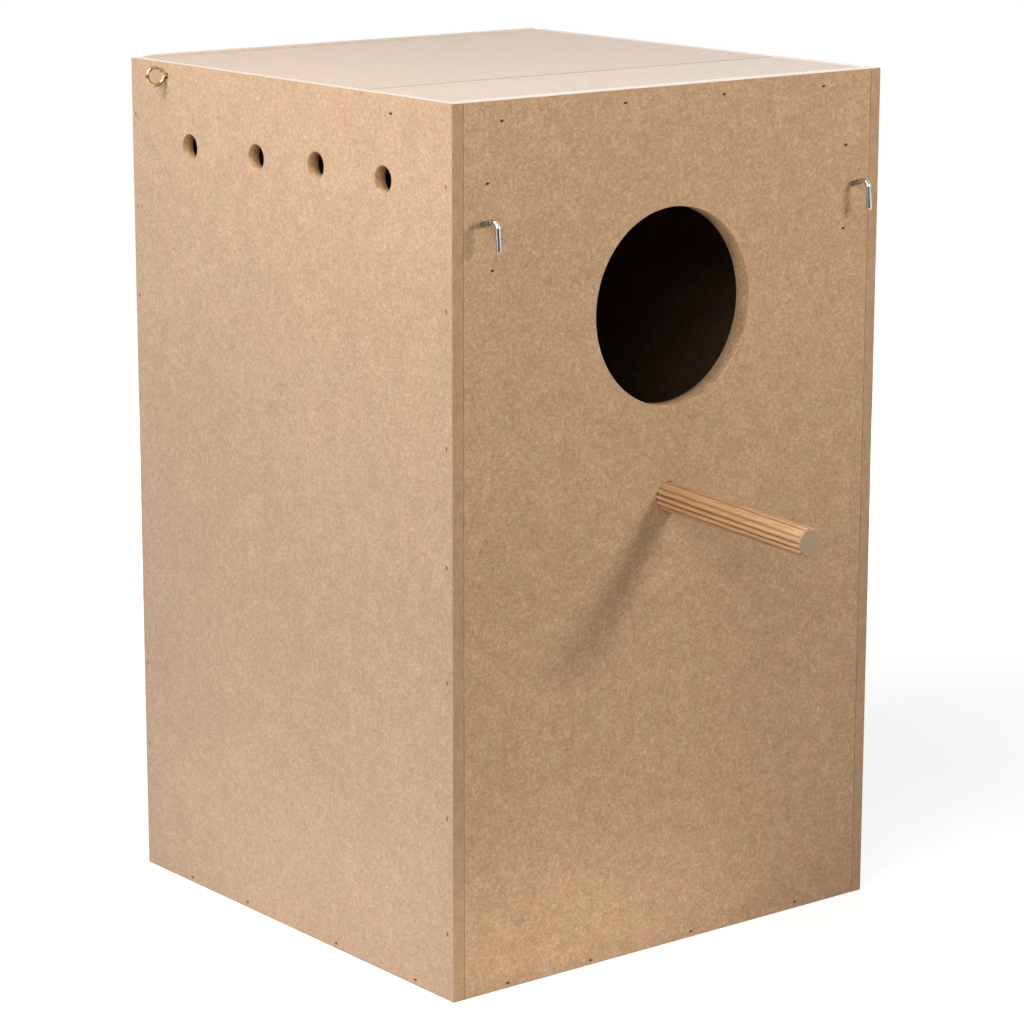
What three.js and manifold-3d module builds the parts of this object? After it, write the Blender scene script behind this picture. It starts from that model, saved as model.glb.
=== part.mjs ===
import * as THREE from "three";
import { mergeVertices } from "three/addons/utils/BufferGeometryUtils.js";
import Module from "manifold-3d";

// A nest box for parrots, made of raw fibreboard sheet. Lengths are in millimetres and +Z is up.
// The origin is the middle of the box's footprint, on the ground, and the front faces -Y.
// Left and right are as seen by someone who faces the front.

// Overall size
const boxWidth = 250;
const boxDepth = 250;
const boxHeight = 400;

// Sheet thicknesses
const sideSheet = 6;
const frontSheet = 9;
const backSheet = 6;
const baseSheet = 6;
const topSheet = 12;

// Clearances
const glueLine = 0.3; // between pieces that are glued, nailed or laid on each other
const fitGap = 0.3; // round a dowel, a hook or an eye in its hole
const bradGap = 0.25; // round a brad in its hole
const lidSideGap = 1; // at each end of the lid
const lidSweepGap = 0.5; // between the turning lid's rear corner and the back
const lidSeamGap = 0.9; // between the turning lid's front corner and the top strip
const cutOverrun = 2; // how far a cutter runs past the face it opens

// Entrance, perch and vents
const entranceDiameter = 90;
const entranceBelowTop = 99;
const perchDiameter = 13.6;
const perchReach = 92;
const perchBelowEntrance = 87.5;
const perchSideShift = -1.5;
const perchChamfer = 1.2;
const perchDroop = THREE.MathUtils.degToRad(2.3);
const fluteDepth = 0.7;
const fluteCount = 14;
const fluteTurn = THREE.MathUtils.degToRad(-3.9);
const ventDiameter = 12;
const ventBelowTop = 37;
// Each vent's place, as shares of the depth from the front and of the vent's diameter up
const ventShares = [[0.197, 0], [0.398, 0.09], [0.585, -0.02], [0.803, -0.07]];

// Top: a fixed strip at the front, a lid behind it, and a batten under the seam
const seamFromFront = 68;
const battenWidth = 24;
const battenThickness = 12;
const backProud = 1; // how far the back stands above the sides

// Screw eyes that the lid turns on
const pivotFromBack = 30.5;
const eyeWire = 2;
const eyeRingRadius = 4.1; // to the middle of the wire
const eyeBendRadius = 1.5;
const eyeStandOff = 0.3; // between the ring and the side
const eyeEndGap = 0.15; // between the ring's end and the shank
const eyeGrip = 10; // length of screw in the lid

// Hooks that hang the box on a cage's bars, and the blocks that they are screwed into
const hookBelowTop = 53;
const hookWire = 2.5;
const hookReach = 10.6; // from the front to the middle of the bend
const hookLegLength = 13.4; // from the top of the bend to the leg's end
const hookBendRadius = 3;
const hookTilt = THREE.MathUtils.degToRad(11);
const hookLegSplay = THREE.MathUtils.degToRad(5);
const hookGrip = 11; // length of screw in the block
const blockWidth = 20;
const blockHeight = 54;
const blockThickness = 15;

// Brads: flat strip with a narrow head, whose long side lies along the edge that the brad is near
const bradHeadWidth = 2;
const bradHeadHeight = 0.8;
const bradShankWidth = 1.3;
const bradThickness = 1;
const bradLength = 16;
const bradPoint = 1.5;
const bradTipWidth = 0.3;
const bradSetDepth = 0.5; // how far a head lies under the surface
const bradSpacing = 2.4; // between a brad's point and a brad that crosses in front of it

// Sides of round pieces
const entranceSides = 72;
const ventSides = 24;
const wireSides = 10;
const hookSteps = 36;
const eyeSteps = 60;

// Faces and levels that more than one piece takes its place from
const sideOuter = boxWidth / 2;
const sideInner = sideOuter - sideSheet;
const frontOuter = -boxDepth / 2;
const frontInner = frontOuter + frontSheet;
const backOuter = boxDepth / 2;
const backInner = backOuter - backSheet;
const innerEdge = sideInner - glueLine;
const topUnderside = boxHeight - topSheet;
const seamY = frontOuter + seamFromFront;
const pivotY = backOuter - pivotFromBack;
const pivotZ = boxHeight - topSheet / 2;
const entranceZ = boxHeight - entranceBelowTop;
const perchZ = entranceZ - perchBelowEntrance;
const hookZ = boxHeight - hookBelowTop;
const hookX = innerEdge - blockWidth / 2;

const paints = {
  board: { color: 0xc6a47c, roughness: 0.85, metalness: 0 },
  dowel: { color: 0xd0a374, roughness: 0.7, metalness: 0 },
  zinc: { color: 0xc9ccd0, roughness: 0.3, metalness: 1 },
  brass: { color: 0xc79d4b, roughness: 0.3, metalness: 1 },
  steel: { color: 0x4b4640, roughness: 0.5, metalness: 1 },
};

const wasm = await Module();
wasm.setup();

// A closed geometry as a solid that can be joined and cut.
function toSolid(geometry) {
  const bare = new THREE.BufferGeometry();
  bare.setAttribute("position", geometry.getAttribute("position"));
  bare.setIndex(geometry.index);
  const welded = mergeVertices(bare);
  return new wasm.Manifold(
    new wasm.Mesh({
      numProp: 3,
      vertProperties: welded.getAttribute("position").array,
      triVerts: Uint32Array.from(welded.index.array),
    }),
  );
}

// A solid as a flat-shaded geometry.
function toGeometry(solid) {
  const mesh = solid.getMesh();
  const shared = new THREE.BufferGeometry();
  shared.setAttribute("position", new THREE.BufferAttribute(mesh.vertProperties, 3));
  shared.setIndex(new THREE.BufferAttribute(mesh.triVerts, 1));
  const geometry = shared.toNonIndexed();
  geometry.computeVertexNormals();
  return geometry;
}

// A straight board between two corners.
function boardSolid(low, high) {
  const size = high.map((value, i) => value - low[i]);
  const middle = high.map((value, i) => (value + low[i]) / 2);
  return toSolid(new THREE.BoxGeometry(...size).translate(...middle));
}

// A round bar along X from one x to another.
function barAlongX(diameter, from, to, y, z, sides) {
  const bar = new THREE.CylinderGeometry(diameter / 2, diameter / 2, to - from, sides);
  return bar.rotateZ(Math.PI / 2).translate((from + to) / 2, y, z);
}

// A round bar along Y from one y to another.
function barAlongY(diameter, from, to, x, z, sides) {
  const bar = new THREE.CylinderGeometry(diameter / 2, diameter / 2, to - from, sides);
  return bar.translate(x, (from + to) / 2, z);
}

// Turns a geometry about the X direction through a point of the front face.
function tiltAtFront(geometry, x, z, angle) {
  return geometry.rotateX(angle).translate(x, frontOuter, z);
}

// An arc of a circle in the plane of X and Z, from one angle to another.
class FlatArc extends THREE.Curve {
  constructor(centreX, centreZ, radius, from, to) {
    super();
    Object.assign(this, { centreX, centreZ, radius, from, to });
  }

  getPoint(t, target = new THREE.Vector3()) {
    const angle = THREE.MathUtils.lerp(this.from, this.to, t);
    const x = this.centreX + this.radius * Math.cos(angle);
    const z = this.centreZ + this.radius * Math.sin(angle);
    return target.set(x, 0, z);
  }
}

// A bent wire along joined curves.
function wireGeometry(diameter, curves, steps) {
  const path = new THREE.CurvePath();
  curves.forEach((curve) => path.add(curve));
  const ring = Array.from({ length: wireSides }, (_, i) => {
    const angle = (2 * Math.PI * i) / wireSides;
    return new THREE.Vector2(Math.cos(angle), Math.sin(angle)).multiplyScalar(diameter / 2);
  });
  const bare = { steps, bevelEnabled: false, extrudePath: path };
  return new THREE.ExtrudeGeometry(new THREE.Shape(ring), bare);
}

// Brads. Each row gives places across the face and a level; the head is set under the surface.
const bradTip = bradSetDepth + bradLength;

function frontBradPlaces() {
  const topShares = [[0.108, 0.25], [0.383, 0.5], [0.614, 0.5], [0.857, 0.47]];
  const bottomShares = [[0.124, 0.37], [0.317, 0.35], [0.562, 0.42], [0.826, 0.48]];
  const leftBlockShares = [[0.02, 0.33], [0.15, -0.37]];
  const rightBlockShares = [[0.105, 0.345], [0.135, -0.37]];
  const blockBrad = (side, [across, up]) => ({
    x: side * (sideOuter - bradTip - bradSpacing - across * blockWidth),
    z: hookZ + up * blockHeight,
  });
  return [
    ...topShares.map(([along, up]) => ({
      x: along * boxWidth - sideOuter,
      z: topUnderside + up * topSheet,
    })),
    ...leftBlockShares.map((shares) => blockBrad(-1, shares)),
    ...rightBlockShares.map((shares) => blockBrad(1, shares)),
    ...bottomShares.map(([along, up]) => ({
      x: along * boxWidth - sideOuter,
      z: up * baseSheet,
    })),
  ];
}

function sideBradPlaces(shares) {
  const frontY = frontOuter + frontSheet / 2;
  const backY = backOuter - backSheet / 2;
  const stripY = THREE.MathUtils.lerp(frontInner, seamY, shares.strip[0]);
  return [
    { y: frontY, z: hookZ + shares.block * blockHeight, upright: true },
    ...shares.front.map((share) => ({ y: frontY, z: share * hookZ, upright: true })),
    ...shares.back.map((share) => ({ y: backY, z: share * boxHeight, upright: true })),
    ...shares.base.map(([along, up]) => ({
      y: frontOuter + along * boxDepth,
      z: up * baseSheet,
    })),
    { y: stripY, z: topUnderside + shares.strip[1] * topSheet },
  ];
}

const leftBradShares = {
  block: 0.32,
  front: [0.896, 0.723, 0.571, 0.422, 0.2435, 0.089],
  back: [0.9325, 0.8225, 0.715, 0.2575, 0.155],
  base: [[0.114, 0.42], [0.359, 0.4], [0.651, 0.45], [0.842, 0.41]],
  strip: [0.586, 0.33],
};
const rightBradShares = {
  block: 0.29,
  front: [0.873, 0.741, 0.588, 0.407, 0.26, 0.078],
  back: [0.941, 0.805, 0.69, 0.295, 0.14],
  base: [[0.148, 0.46], [0.455, 0.4], [0.803, 0.44]],
  strip: [0.53, 0.42],
};

const bradRows = [
  { name: "brad_front", places: frontBradPlaces(), turn: 0 },
  { name: "brad_left", places: sideBradPlaces(leftBradShares), turn: -1 },
  { name: "brad_right", places: sideBradPlaces(rightBradShares), turn: 1 },
];

// A plate with the given half outline on both sides of the Y direction, centred on Z.
function plateGeometry(halfOutline, thickness) {
  const outline = [...halfOutline, ...halfOutline.toReversed().map(([x, y]) => [-x, y])];
  const shape = new THREE.Shape(outline.map(([x, y]) => new THREE.Vector2(x, y)));
  const plate = new THREE.ExtrudeGeometry(shape, { depth: thickness, bevelEnabled: false });
  return plate.translate(0, 0, -thickness / 2);
}

// A brad that points along +Y, with the middle of its head at the origin.
function bradGeometry() {
  const head = bradHeadWidth / 2;
  const shank = bradShankWidth / 2;
  const halfOutline = [
    [head, 0],
    [head, bradHeadHeight],
    [shank, bradHeadHeight],
    [shank, bradLength - bradPoint],
    [bradTipWidth / 2, bradLength],
  ];
  return plateGeometry(halfOutline, bradThickness);
}

// The sleeve that a brad leaves in the boards, open at the face.
function sleeveGeometry() {
  const head = bradHeadWidth / 2 + bradGap;
  const shank = bradShankWidth / 2 + bradGap;
  const halfOutline = [
    [head, -bradSetDepth - cutOverrun],
    [head, bradHeadHeight + bradGap],
    [shank, bradHeadHeight + bradGap],
    [shank, bradLength + bradGap],
  ];
  return plateGeometry(halfOutline, bradThickness + 2 * bradGap);
}

// Sets a brad or a sleeve in the front, the left side or the right side.
function setBrad(geometry, place, turn) {
  if (place.upright) {
    geometry.rotateY(Math.PI / 2);
  }
  if (turn === 0) {
    return geometry.translate(place.x, frontOuter + bradSetDepth, place.z);
  }
  const x = turn * (sideOuter - bradSetDepth);
  return geometry.rotateZ((turn * Math.PI) / 2).translate(x, place.y, place.z);
}

const sleeves = bradRows
  .flatMap(({ places, turn }) => places.map((place) => setBrad(sleeveGeometry(), place, turn)))
  .map(toSolid)
  .reduce((all, sleeve) => all.add(sleeve));

// Cuts a board with every brad's sleeve and with the cutters given.
function drilled(board, cutters = []) {
  return cutters.reduce((rest, cutter) => rest.subtract(toSolid(cutter)), board.subtract(sleeves));
}

function sidePanel(side) {
  const near = side * sideOuter;
  const far = side * sideInner;
  const low = Math.min(near, far);
  const high = Math.max(near, far);
  const from = low - cutOverrun;
  const to = high + cutOverrun;
  const vents = ventShares.map(([along, up]) => {
    const ventZ = boxHeight - ventBelowTop + up * ventDiameter;
    return barAlongX(ventDiameter, from, to, frontOuter + along * boxDepth, ventZ, ventSides);
  });
  const pivot = barAlongX(eyeWire + 2 * fitGap, from, to, pivotY, pivotZ, wireSides);
  return drilled(boardSolid([low, frontOuter, 0], [high, backOuter, boxHeight]), [...vents, pivot]);
}

// The dowel's flutes: each has a ridge and a groove, as shares of its pitch.
function flutedOutline() {
  const ridgeEndShare = 0.58;
  const floorStartShare = 0.68;
  const floorEndShare = 0.9;
  const ridge = perchDiameter / 2;
  const floor = ridge - fluteDepth;
  const corners = [
    [0, ridge],
    [ridgeEndShare, ridge],
    [floorStartShare, floor],
    [floorEndShare, floor],
  ];
  const points = Array.from({ length: fluteCount }, (_, flute) =>
    corners.map(([share, radius]) => {
      const angle = fluteTurn + (2 * Math.PI * (flute + share)) / fluteCount;
      return new THREE.Vector2(Math.cos(angle), Math.sin(angle)).multiplyScalar(radius);
    }),
  ).flat();
  return new THREE.Shape(points);
}

// The perch runs from the front's inner face out along -Y, and droops a little.
function perch() {
  const root = frontSheet;
  const length = root + perchReach;
  const bar = new THREE.ExtrudeGeometry(flutedOutline(), { depth: length, bevelEnabled: false });
  bar.rotateX(Math.PI / 2).translate(0, root, 0);
  const wide = perchDiameter / 2 + perchChamfer;
  const narrow = perchDiameter / 2 - perchChamfer;
  const profile = [
    [0, root],
    [narrow, root],
    [wide, root - 2 * perchChamfer],
    [wide, 2 * perchChamfer - perchReach],
    [narrow, -perchReach],
    [0, -perchReach],
  ];
  const envelope = new THREE.LatheGeometry(
    profile.reverse().map(([r, y]) => new THREE.Vector2(r, y)),
    ventSides,
  );
  const solid = toSolid(bar).intersect(toSolid(envelope));
  return tiltAtFront(toGeometry(solid), perchSideShift, perchZ, perchDroop);
}

// The straight stretch of a hook's screw, as a cutter for the boards that it goes through.
function hookHole(side) {
  const depth = (frontSheet + glueLine + hookGrip + fitGap) / Math.cos(hookTilt);
  const hole = barAlongY(hookWire + 2 * fitGap, -cutOverrun, depth, 0, 0, wireSides);
  return tiltAtFront(hole, side * hookX, hookZ, -hookTilt);
}

// A hook: its screw comes out of the front, rises a little, and its leg hangs in front.
// It is drawn in the plane of X and Z with -X outwards, and then turned to face the front.
function cageHook(side) {
  const depth = (frontSheet + glueLine + hookGrip) / Math.cos(hookTilt);
  const screwEnd = new THREE.Vector3(depth, 0, 0);
  const bendStart = new THREE.Vector3(-hookReach + hookBendRadius, 0, 0);
  const bendTurn = Math.PI / 2 + hookTilt - hookLegSplay;
  const bendFrom = Math.PI / 2;
  const bendTo = bendFrom + bendTurn;
  const bend = new FlatArc(bendStart.x, -hookBendRadius, hookBendRadius, bendFrom, bendTo);
  const legTop = bend.getPoint(1);
  const legWay = new THREE.Vector3(-Math.sin(bendTo), 0, Math.cos(bendTo));
  const legEnd = legTop.clone().addScaledVector(legWay, hookLegLength - hookBendRadius);
  const curves = [
    new THREE.LineCurve3(screwEnd, bendStart),
    bend,
    new THREE.LineCurve3(legTop, legEnd),
  ];
  const wire = wireGeometry(hookWire, curves, hookSteps).rotateZ(Math.PI / 2);
  return tiltAtFront(wire, side * hookX, hookZ, -hookTilt);
}

// A screw eye: its shank goes through the side into the lid's end, and its ring stands outside.
// It is drawn in the plane of X and Z with +X outwards from the side's face.
function pivotEye(side) {
  const shankEnd = new THREE.Vector3(-sideSheet - lidSideGap - eyeGrip, 0, 0);
  const ringX = eyeStandOff + eyeWire / 2 + eyeRingRadius;
  const bendBack = Math.sqrt(eyeRingRadius ** 2 + 2 * eyeRingRadius * eyeBendRadius);
  const bendStart = new THREE.Vector3(ringX - bendBack, 0, 0);
  const meeting = Math.asin(eyeBendRadius / (eyeRingRadius + eyeBendRadius));
  const openAngle = Math.asin((eyeWire + eyeEndGap) / eyeRingRadius);
  const bend = new FlatArc(bendStart.x, eyeBendRadius, eyeBendRadius, -Math.PI / 2, -meeting);
  const ring = new FlatArc(ringX, 0, eyeRingRadius, Math.PI - meeting, openAngle - Math.PI);
  const curves = [new THREE.LineCurve3(shankEnd, bendStart), bend, ring];
  const wire = wireGeometry(eyeWire, curves, eyeSteps);
  const turned = side < 0 ? wire.rotateZ(Math.PI) : wire;
  return turned.translate(side * sideOuter, pivotY, pivotZ);
}

function frontPanel() {
  const from = frontOuter - cutOverrun;
  const to = frontInner + cutOverrun;
  const entrance = barAlongY(entranceDiameter, from, to, 0, entranceZ, entranceSides);
  const reach = frontSheet + cutOverrun;
  const socket = barAlongY(perchDiameter + 2 * fitGap, -cutOverrun, reach, 0, 0, ventSides);
  tiltAtFront(socket, perchSideShift, perchZ, perchDroop);
  const board = boardSolid([-innerEdge, frontOuter, 0], [innerEdge, frontInner, boxHeight]);
  return drilled(board, [entrance, socket, hookHole(-1), hookHole(1)]);
}

function backPanel() {
  const high = boxHeight + backProud;
  return drilled(boardSolid([-innerEdge, backInner, 0], [innerEdge, backOuter, high]));
}

function basePanel() {
  const low = [-innerEdge, frontInner + glueLine, 0];
  return drilled(boardSolid(low, [innerEdge, backInner - glueLine, baseSheet]));
}

function topStrip() {
  const low = [-innerEdge, frontInner + glueLine, topUnderside];
  return drilled(boardSolid(low, [innerEdge, seamY, boxHeight]));
}

// The batten under the seam: the strip is glued to it, and the lid's front edge lies on it.
function lidRest() {
  const high = topUnderside - glueLine;
  const low = high - battenThickness;
  const half = battenWidth / 2;
  return boardSolid([-innerEdge, seamY - half, low], [innerEdge, seamY + half, high]);
}

// The lid's front and rear edges keep their gaps while its corners sweep past.
function lid() {
  const halfSheet = topSheet / 2;
  const frontArm = Math.sqrt((pivotY - seamY - lidSeamGap) ** 2 - halfSheet ** 2);
  const rearArm = Math.sqrt((backInner - pivotY - lidSweepGap) ** 2 - halfSheet ** 2);
  const end = sideInner - lidSideGap;
  const low = [-end, pivotY - frontArm, topUnderside];
  const board = boardSolid(low, [end, pivotY + rearArm, boxHeight]);
  const hole = eyeWire + 2 * fitGap;
  const bottom = end - eyeGrip - fitGap;
  return [-1, 1].reduce((rest, side) => {
    const ends = [side * bottom, side * (end + cutOverrun)].sort((a, b) => a - b);
    return rest.subtract(toSolid(barAlongX(hole, ...ends, pivotY, pivotZ, wireSides)));
  }, board);
}

function hookBlock(side) {
  const front = frontInner + glueLine;
  const middle = side * hookX;
  const half = blockWidth / 2;
  const low = [middle - half, front, hookZ - blockHeight / 2];
  const high = [middle + half, front + blockThickness, hookZ + blockHeight / 2];
  return drilled(boardSolid(low, high), [hookHole(side)]);
}

const nestBox = new THREE.Group();

function addPiece(name, geometry, paint, group = nestBox) {
  const mesh = new THREE.Mesh(geometry, new THREE.MeshStandardMaterial(paints[paint]));
  mesh.name = name;
  group.add(mesh);
}

const sides = [["left", -1], ["right", 1]];

addPiece("front_panel", toGeometry(frontPanel()), "board");
addPiece("back_panel", toGeometry(backPanel()), "board");
addPiece("base_panel", toGeometry(basePanel()), "board");
addPiece("top_strip", toGeometry(topStrip()), "board");
addPiece("lid_rest", toGeometry(lidRest()), "board");
addPiece("perch", perch(), "dowel");
for (const [sideName, side] of sides) {
  addPiece(`side_panel_${sideName}`, toGeometry(sidePanel(side)), "board");
  addPiece(`hook_block_${sideName}`, toGeometry(hookBlock(side)), "board");
  addPiece(`cage_hook_${sideName}`, cageHook(side), "zinc");
}

// The lid and the two eyes that it turns on
const lidGroup = new THREE.Group();
nestBox.add(lidGroup);
addPiece("lid", toGeometry(lid()), "board", lidGroup);
for (const [sideName, side] of sides) {
  addPiece(`pivot_eye_${sideName}`, pivotEye(side), "brass", lidGroup);
}

for (const { name, places, turn } of bradRows) {
  places.forEach((place, i) => {
    const number = String(i + 1).padStart(2, "0");
    addPiece(`${name}_${number}`, setBrad(bradGeometry(), place, turn), "steel");
  });
}

export default nestBox;
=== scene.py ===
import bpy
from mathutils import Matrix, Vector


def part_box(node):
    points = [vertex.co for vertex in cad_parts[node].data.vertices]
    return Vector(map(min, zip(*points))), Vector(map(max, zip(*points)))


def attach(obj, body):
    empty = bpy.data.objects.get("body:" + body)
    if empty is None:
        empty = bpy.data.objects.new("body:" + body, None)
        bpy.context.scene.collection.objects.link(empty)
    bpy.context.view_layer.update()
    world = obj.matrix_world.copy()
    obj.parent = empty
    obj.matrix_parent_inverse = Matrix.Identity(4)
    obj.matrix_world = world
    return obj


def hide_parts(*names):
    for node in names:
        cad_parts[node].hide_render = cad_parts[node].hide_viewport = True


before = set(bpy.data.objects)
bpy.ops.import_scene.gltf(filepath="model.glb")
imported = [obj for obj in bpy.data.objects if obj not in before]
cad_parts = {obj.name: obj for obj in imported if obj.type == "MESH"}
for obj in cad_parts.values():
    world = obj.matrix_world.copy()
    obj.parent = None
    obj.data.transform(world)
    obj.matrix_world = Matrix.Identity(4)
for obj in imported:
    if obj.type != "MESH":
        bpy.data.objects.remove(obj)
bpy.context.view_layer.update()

import math
import random
import bpy
from mathutils import Matrix, Vector

mm = 0.001
merging = 0.00002  # points nearer than this become one
hair = 0.0001  # how near to a plane counts as on it
sideSigns = {"left": -1, "right": 1}
random.seed(7)


# Picking and shaping

def pick(piece):
    if bpy.context.object and bpy.context.object.mode != "OBJECT":
        bpy.ops.object.mode_set(mode="OBJECT")
    bpy.ops.object.select_all(action="DESELECT")
    piece.select_set(True)
    bpy.context.view_layer.objects.active = piece


def markInEdit(piece, kind, test):  # leaves the piece in edit mode with what passes the test selected
    pick(piece)
    bpy.ops.object.mode_set(mode="EDIT")
    bpy.ops.mesh.select_mode(type=kind)
    bpy.ops.mesh.select_all(action="DESELECT")
    bpy.ops.object.mode_set(mode="OBJECT")
    parts = {"FACE": piece.data.polygons, "EDGE": piece.data.edges, "VERT": piece.data.vertices}[kind]
    for part in parts:
        part.select = test(part)
    bpy.ops.object.mode_set(mode="EDIT")


def closeUp(piece):  # merges doubles and turns the faces outwards
    pick(piece)
    bpy.ops.object.mode_set(mode="EDIT")
    bpy.ops.mesh.select_mode(type="VERT")
    bpy.ops.mesh.select_all(action="SELECT")
    bpy.ops.mesh.remove_doubles(threshold=merging)
    bpy.ops.mesh.normals_make_consistent(inside=False)
    bpy.ops.object.mode_set(mode="OBJECT")
    return piece


def nameIt(piece, name):
    piece.name = name
    piece.data.name = name
    return piece


def newDisc(name, centre, way, radius, sides, filled=True):
    bpy.ops.object.select_all(action="DESELECT")
    bpy.ops.mesh.primitive_circle_add(
        vertices=sides, radius=radius, fill_type="NGON" if filled else "NOTHING",
        location=centre, rotation=Vector(way).to_track_quat("Z", "X").to_euler())
    piece = nameIt(bpy.context.object, name)
    bpy.ops.object.transform_apply(location=True, rotation=True, scale=True)
    return piece


def drawOut(step, wider=1.0, centre=None):  # extrudes the selection, then scales its new end
    bpy.ops.mesh.extrude_region_move(TRANSFORM_OT_translate={"value": step})
    if wider != 1.0:
        bpy.ops.transform.resize(value=(wider, wider, wider), center_override=centre)


def turnedBar(name, start, way, stations, sides):  # a round bar through stations of (distance, radius)
    start, way = Vector(start), Vector(way).normalized()
    piece = newDisc(name, start + way * stations[0][0], way, stations[0][1], sides)
    bpy.ops.object.mode_set(mode="EDIT")
    bpy.ops.mesh.select_all(action="SELECT")
    for (here, radius), (there, nextRadius) in zip(stations, stations[1:]):
        drawOut(way * (there - here), nextRadius / radius, start + way * there)
    bpy.ops.object.mode_set(mode="OBJECT")
    return closeUp(piece)


def copyOf(piece, name, matrix):  # a copy with its own mesh, set in place in the mesh
    copy = piece.copy()
    copy.data = piece.data.copy()
    bpy.context.scene.collection.objects.link(copy)
    copy.matrix_world = matrix
    nameIt(copy, name)
    pick(copy)
    bpy.ops.object.transform_apply(location=True, rotation=True, scale=True)
    return copy


def joinAll(pieces, name):
    pick(pieces[0])
    for piece in pieces[1:]:
        piece.select_set(True)
    bpy.ops.object.join()
    return nameIt(bpy.context.object, name)


def drop(piece):
    bpy.data.objects.remove(piece)


def smoothExcept(piece, flat):  # smooth shading all over but on the faces that pass the test
    for face in piece.data.polygons:
        face.use_smooth = not flat(face)


# Node helpers

def addNode(tree, kind, inputs=None, **settings):
    made = tree.nodes.new(kind)
    for key, value in settings.items():
        setattr(made, key, value)
    for key, value in (inputs or {}).items():
        if isinstance(value, bpy.types.NodeSocket):
            tree.links.new(value, made.inputs[key])
        else:
            made.inputs[key].default_value = value
    return made


def placed(tree, shift=(0, 0, 0), turn=(0, 0, 0), stretch=(1, 1, 1)):  # moved, turned, stretched coordinates
    spot = addNode(tree, "ShaderNodeTexCoord").outputs["Object"]
    turned = addNode(tree, "ShaderNodeMapping", {
        "Vector": spot, "Location": shift, "Rotation": [math.radians(a) for a in turn]}).outputs[0]
    return addNode(tree, "ShaderNodeMapping", {"Vector": turned, "Scale": stretch}).outputs[0]


def noise(tree, where, scale, detail=3.0, rough=0.5, bend=0.0):
    return addNode(tree, "ShaderNodeTexNoise", {
        "Vector": where, "Scale": scale, "Detail": detail, "Roughness": rough,
        "Distortion": bend}).outputs[0]


def ranged(tree, value, low, high, toLow=0.0, toHigh=1.0):
    return addNode(tree, "ShaderNodeMapRange", {
        "Value": value, "From Min": low, "From Max": high, "To Min": toLow, "To Max": toHigh}).outputs[0]


def figure(tree, work, a, b):
    return addNode(tree, "ShaderNodeMath", {0: a, 1: b}, operation=work).outputs[0]


def summed(tree, base, parts):  # base plus each (value, weight), the values centred on a half
    total = base - sum(weight for _, weight in parts) / 2
    for value, weight in parts:
        total = addNode(tree, "ShaderNodeMath", {0: value, 1: weight, 2: total},
                        operation="MULTIPLY_ADD").outputs[0]
    return total


def blended(tree, factor, a, b, way="MIX"):
    return addNode(tree, "ShaderNodeMix", {0: factor, 6: a, 7: b},
                   data_type="RGBA", blend_type=way).outputs[2]


def tinted(tree, colour, mask, strength, tint):  # lays the tint over the colour where the mask is white
    return blended(tree, figure(tree, "MULTIPLY", mask, strength), colour, tint)


def toned(tree, colour, tone):
    return blended(tree, 1.0, colour, (tone, tone, tone, 1.0), "MULTIPLY")


def ramp(tree, value, stops):
    made = addNode(tree, "ShaderNodeValToRGB", {"Fac": value})
    band = made.color_ramp
    while len(band.elements) < len(stops):
        band.elements.new(0.5)
    for element, (spot, colour) in zip(band.elements, stops):
        element.position = spot
        element.color = colour
    return made.outputs[0]


def colourOf(red, green, blue):  # from a screen's values, 0 to 255
    def straight(value):
        value /= 255
        return value / 12.92 if value <= 0.04045 else ((value + 0.055) / 1.055) ** 2.4
    return (straight(red), straight(green), straight(blue), 1.0)


def newFinish(name, shine, metal=0.0, rough=0.5):
    finish = bpy.data.materials.new(name)
    finish.use_nodes = True
    tree = finish.node_tree
    shader = tree.nodes["Principled BSDF"]
    shader.inputs["Specular IOR Level"].default_value = shine
    shader.inputs["Metallic"].default_value = metal
    shader.inputs["Roughness"].default_value = rough
    return finish, tree, shader


def raised(tree, shader, height, strength, depth):
    bump = addNode(tree, "ShaderNodeBump", {"Height": height, "Strength": strength, "Distance": depth})
    tree.links.new(bump.outputs[0], shader.inputs["Normal"])


# Fibreboard

fibreboard = {
    "pale": colourOf(222, 186, 150),
    "middle": colourOf(181, 146, 111),
    "dark": colourOf(140, 107, 74),
    "rosy": (1.02, 0.985, 0.98, 1.0),
    "olive": (0.978, 1.0, 0.97, 1.0),
    "speck": colourOf(98, 70, 44),
    "fibre": colourOf(222, 194, 162),
    "sawnPale": colourOf(216, 178, 138),
    "sawnMiddle": colourOf(177, 142, 106),
    "sawnDark": colourOf(128, 96, 63),
    # innerShadeTone darkens every face inside the box: painted shade standing in for the closed box's dark
    # inside
    "shine": 0.2, "sheenRough": 0.4, "sawnSheen": 0.7, "innerShadeTone": 0.55,
    # each pattern's scale, and how much it counts in the face's colour
    "cloud": (14.0, 0.13), "patch": (90.0, 0.27), "mottle": (300.0, 0.38), "crumb": (640.0, 0.56),
    "grain": (1250.0, 0.72),
    "fleckStretch": (330, 2100, 2100), "fleckEdge": 0.08,
    "paleTurns": ((10, 25, 40), (80, -30, -15), (35, 60, 100)), "paleFrom": 0.665, "paleFlecks": 0.34,
    "darkTurns": ((55, 15, -60), (-20, 70, 20)), "darkFrom": 0.672, "darkFlecks": 0.34, "darkShift": 0.37,
    "speckScale": 190.0, "speckWide": (0.11, 0.04), "speckRare": (0.93, 0.96), "specks": 0.5,
    "hueScale": 62.0, "hueSpan": (0.36, 0.64), "hueShift": -0.21,
    "faceRough": (0.68, 0.82), "bump": 0.4, "bumpDeep": 0.00012,
    "layerAlong": 70.0, "layerAcross": 1900.0, "sawnPatch": 120.0, "sawnCrumb": 620.0,
    "sawnRough": (0.72, 0.92), "sawnBump": 0.6, "sawnBumpDeep": 0.0003,
}


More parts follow.
